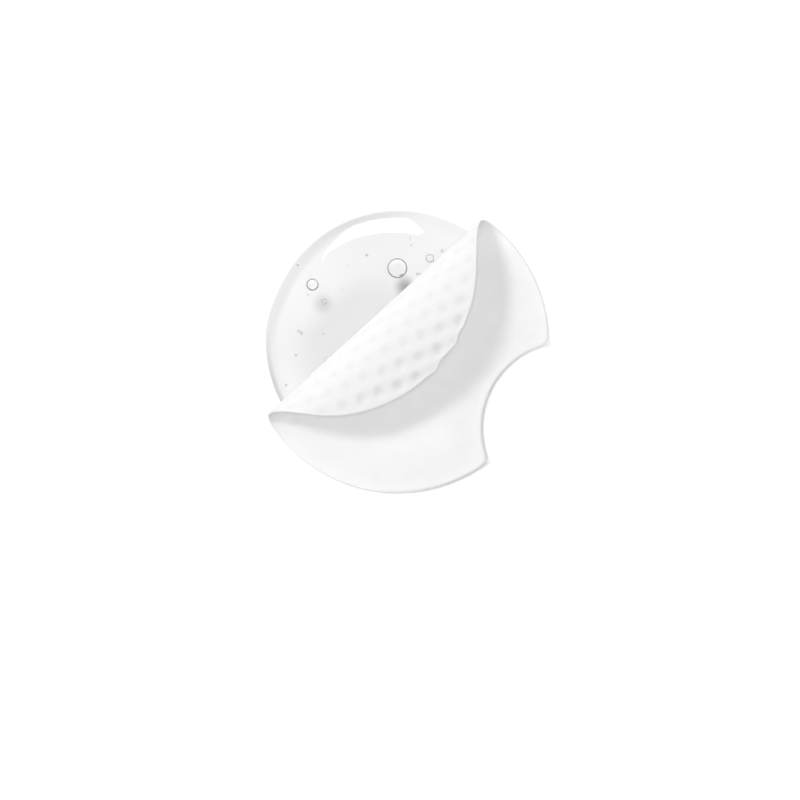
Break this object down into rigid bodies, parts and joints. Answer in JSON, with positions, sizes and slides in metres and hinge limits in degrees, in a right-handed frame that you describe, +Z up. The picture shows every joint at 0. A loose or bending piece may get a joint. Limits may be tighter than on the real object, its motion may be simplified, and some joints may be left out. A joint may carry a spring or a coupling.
{
  "type": "toner pad",
  "caption": "Round nonwoven toner pad with a notched rim and an embossed face, peeled back over itself on its clear layer of toner.",
  "frame": {"origin": "centre of the pad's disc, on the flat underside of the toner layer", "axes": "+X along the fold, +Y towards the side where the toner is bare, +Z up out of the resting face"},
  "size_m": [0.07, 0.0656, 0.018],
  "materials": {
    "nonwoven": "soft matt white nonwoven, embossed with dents on one face",
    "toner": "clear wet liquid, glossy, with a few air bubbles"
  },
  "bodies": {
    "root": {"pad": "nonwoven", "toner_layer": "toner"}
  },
  "joints": []
}
